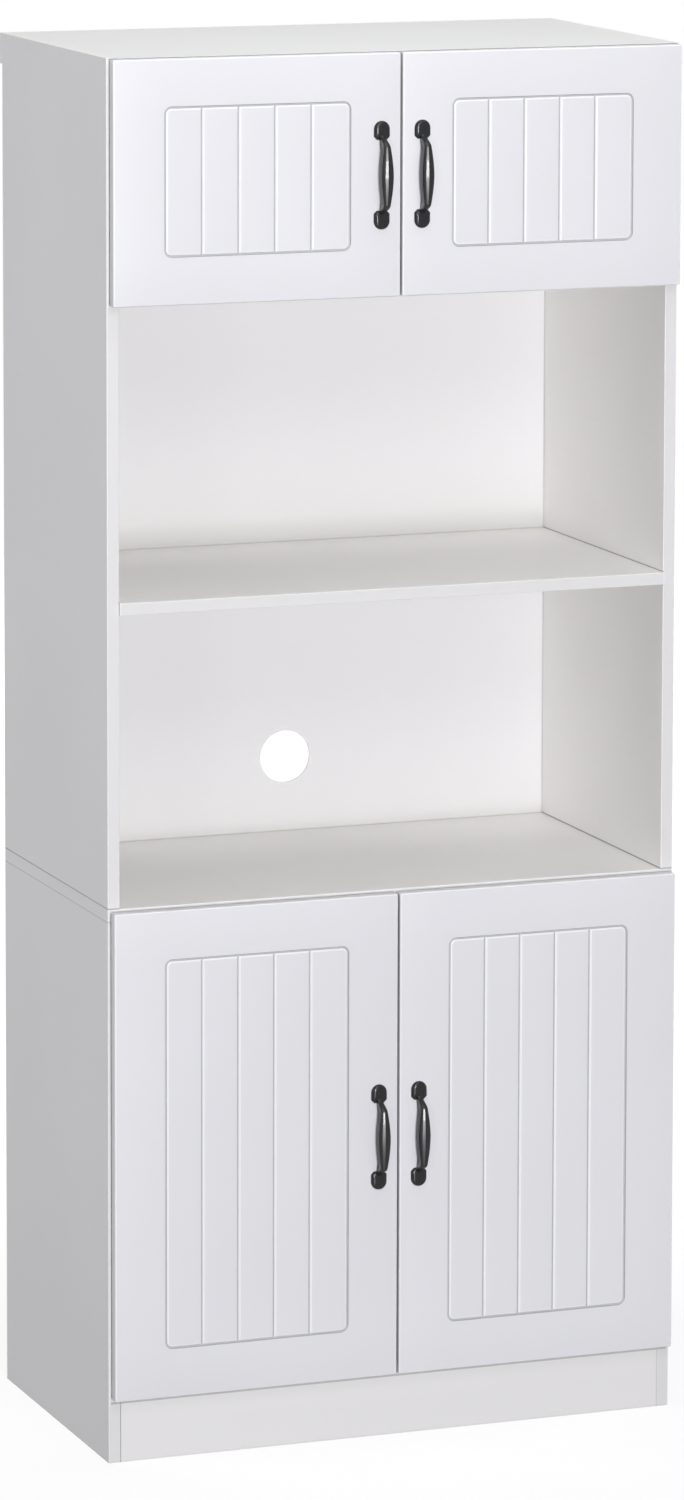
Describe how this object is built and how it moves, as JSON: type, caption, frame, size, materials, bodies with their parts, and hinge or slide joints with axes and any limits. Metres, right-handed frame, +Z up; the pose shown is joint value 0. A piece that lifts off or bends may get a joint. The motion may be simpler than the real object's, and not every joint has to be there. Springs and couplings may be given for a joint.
{
  "type": "microwave cabinet",
  "caption": "Tall white microwave cabinet: base cupboard, counter, two open bays with a rear cable hole, upper cupboard, overlay doors with routed planks and black bow handles.",
  "frame": {"origin": "on the floor, under the middle of the outline with handles and wall rail included", "axes": "+Z up, -Y is the front with the doors, +X to the right seen from the front"},
  "size_m": [0.776, 0.4814, 1.8],
  "materials": {
    "white_board": "satin white melamine on particle board",
    "white_door": "satin white foil on routed fibreboard",
    "white_panel": "satin white faced hardboard",
    "black_gloss": "gloss black",
    "nickel": "nickel plated",
    "zinc": "zinc plated",
    "beech": "raw beech",
    "clear_pad": "clear soft plastic"
  },
  "bodies": {
    "carcass": {"base_side_left": "white_board", "base_side_right": "white_board", "base_floor": "white_board", "kick_board": "white_board", "counter_board": "white_board", "base_back_panel": "white_panel", "base_shelf": "white_board", "shelf_pins": "nickel", "hutch_side_left": "white_board", "hutch_side_right": "white_board", "hutch_back_panel": "white_panel", "mid_shelf": "white_board", "upper_floor": "white_board", "top_board": "white_board", "wall_rail": "white_board", "wall_rail_screws": "zinc", "joining_plates": "zinc", "joining_plate_screws": "zinc", "back_panel_screws": "zinc", "cam_bolts": "zinc", "cam_locks": "zinc", "wood_dowels": "beech", "hinge_plates": "nickel", "hinge_plate_screws": "zinc", "hinge_arms": "nickel", "hinge_arm_screws": "zinc"},
    "upper_left_leaf": {"upper_left_door": "white_door", "upper_left_handle": "black_gloss", "upper_left_handle_screws": "zinc", "upper_left_hinge_cups": "nickel", "upper_left_hinge_pins": "zinc", "upper_left_cup_screws": "zinc", "upper_left_bumpers": "clear_pad"},
    "upper_right_leaf": {"upper_right_door": "white_door", "upper_right_handle": "black_gloss", "upper_right_handle_screws": "zinc", "upper_right_hinge_cups": "nickel", "upper_right_hinge_pins": "zinc", "upper_right_cup_screws": "zinc", "upper_right_bumpers": "clear_pad"},
    "lower_left_leaf": {"lower_left_door": "white_door", "lower_left_handle": "black_gloss", "lower_left_handle_screws": "zinc", "lower_left_hinge_cups": "nickel", "lower_left_hinge_pins": "zinc", "lower_left_cup_screws": "zinc", "lower_left_bumpers": "clear_pad"},
    "lower_right_leaf": {"lower_right_door": "white_door", "lower_right_handle": "black_gloss", "lower_right_handle_screws": "zinc", "lower_right_hinge_cups": "nickel", "lower_right_hinge_pins": "zinc", "lower_right_cup_screws": "zinc", "lower_right_bumpers": "clear_pad"}
  },
  "joints": [
    {"name": "upper_left_hinge", "type": "hinge", "parent": "carcass", "child": "upper_left_leaf", "pos_m": [-0.3775, -0.20725, 1.644], "axis": [0, 0, -1], "range_deg": [0, 95]},
    {"name": "upper_right_hinge", "type": "hinge", "parent": "carcass", "child": "upper_right_leaf", "pos_m": [0.3775, -0.20725, 1.644], "axis": [0, 0, 1], "range_deg": [0, 95]},
    {"name": "lower_left_hinge", "type": "hinge", "parent": "carcass", "child": "lower_left_leaf", "pos_m": [-0.3775, -0.20725, 0.4005], "axis": [0, 0, -1], "range_deg": [0, 95]},
    {"name": "lower_right_hinge", "type": "hinge", "parent": "carcass", "child": "lower_right_leaf", "pos_m": [0.3775, -0.20725, 0.4005], "axis": [0, 0, 1], "range_deg": [0, 95]}
  ]
}
